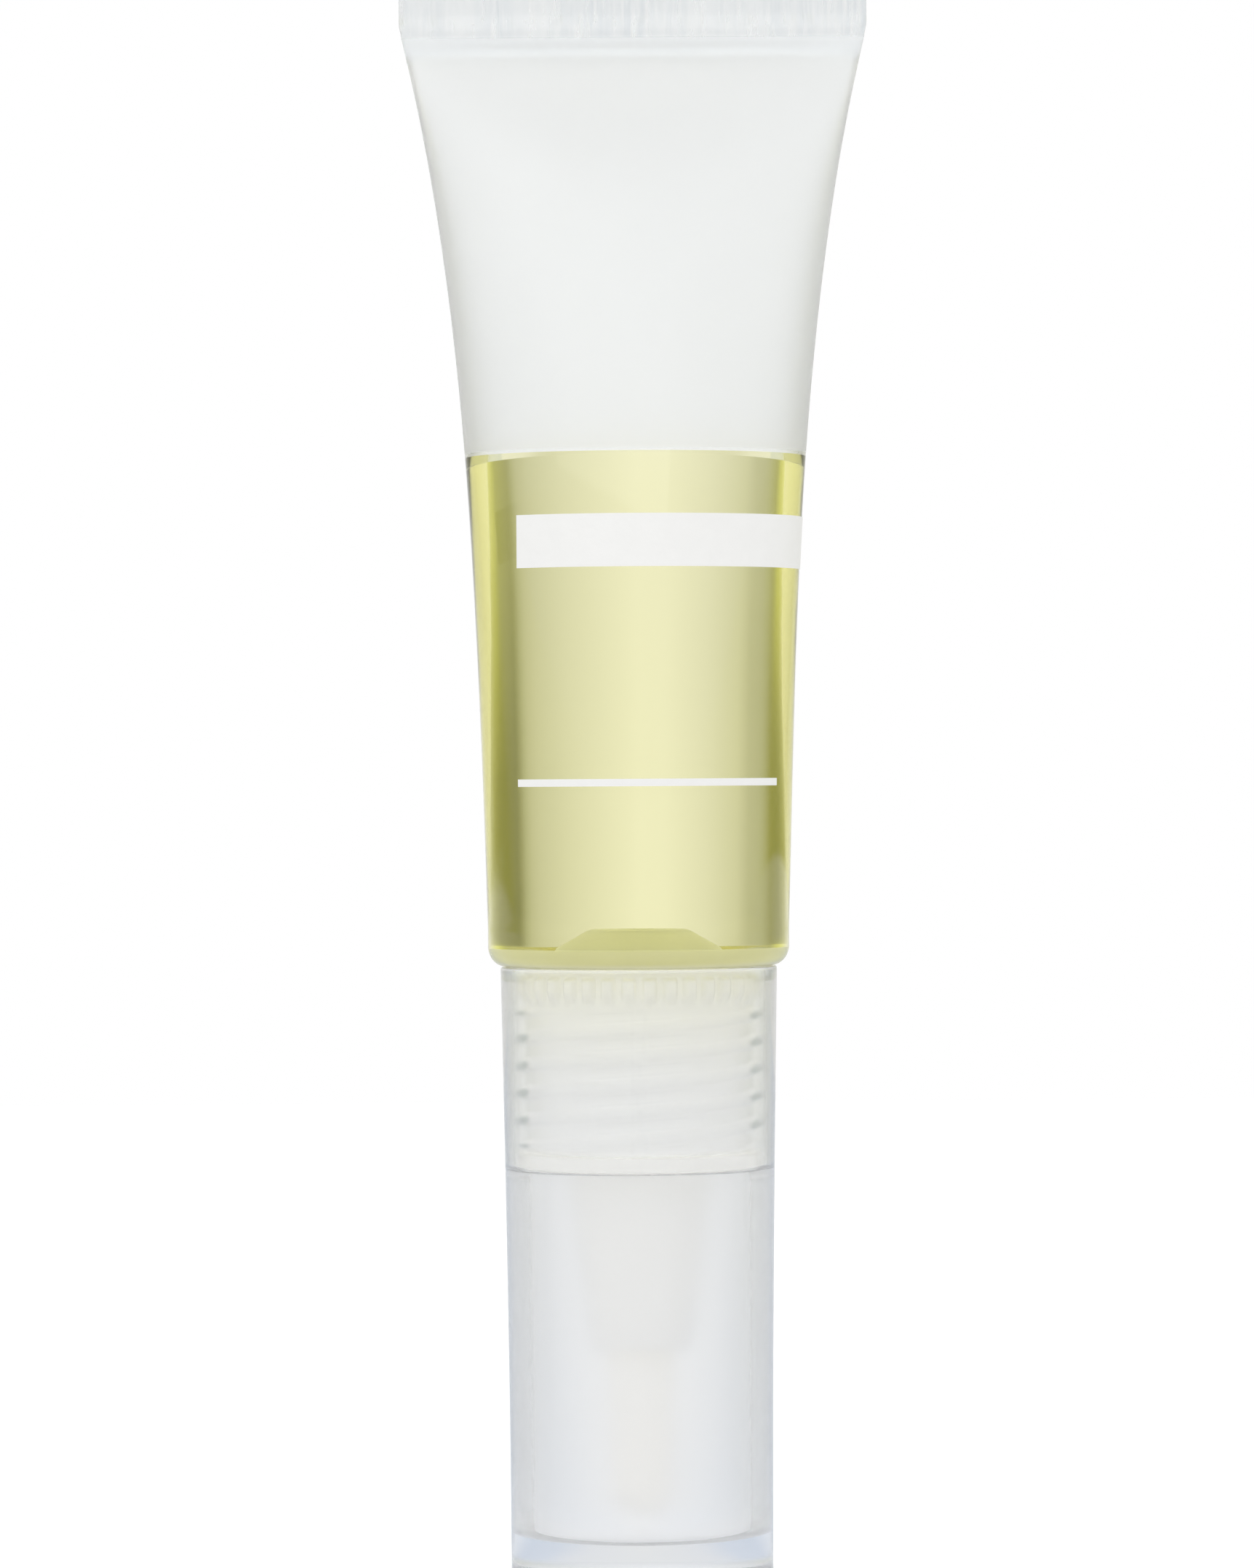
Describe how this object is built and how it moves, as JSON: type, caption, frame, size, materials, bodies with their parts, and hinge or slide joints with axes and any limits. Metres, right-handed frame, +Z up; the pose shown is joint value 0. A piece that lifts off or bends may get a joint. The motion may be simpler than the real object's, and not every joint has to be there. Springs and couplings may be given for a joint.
{
  "type": "cuticle oil brush tube",
  "caption": "Clear squeeze tube of yellow cuticle oil, pressed flat at the top, standing on a long clear screw cap that covers its applicator brush.",
  "frame": {"origin": "centre of the cap's flat closed end, on the floor that the tube stands on", "axes": "+Z up the tube's axis to the crimp, X across the crimp, -Y is the front"},
  "size_m": [0.0296, 0.019, 0.1025],
  "materials": {
    "clear_cap": "clear, polished",
    "washer_plastic": "translucent white, soft",
    "clear_sleeve": "clear, glossy",
    "clear_head": "clear, slightly cloudy",
    "holder_plastic": "frosted natural plastic",
    "feed_plastic": "natural plastic",
    "nylon_bristle": "fine white nylon",
    "cuticle_oil": "clear yellow oil"
  },
  "bodies": {
    "cap": {"cap": "clear_cap"},
    "seal": {"sealing_washer": "washer_plastic"},
    "tube": {"tube_sleeve": "clear_sleeve", "tube_head": "clear_head", "brush_holder": "holder_plastic", "flow_reducer": "holder_plastic", "feed_tube": "feed_plastic", "bristles": "nylon_bristle", "oil": "cuticle_oil"}
  },
  "joints": [
    {"name": "tube_lift", "type": "slide", "parent": "cap", "child": "seal", "axis": [0, 0, 1], "range_m": [0, 0.0379]},
    {"name": "tube_turn", "type": "hinge", "parent": "seal", "child": "tube", "pos_m": [0, 0, 0.0271], "axis": [0, 0, 1], "range_deg": [0, 3960]}
  ],
  "couplings": [
    {"joint": "tube_lift", "follows": "tube_turn", "m_per_rad": 0.00054749}
  ]
}
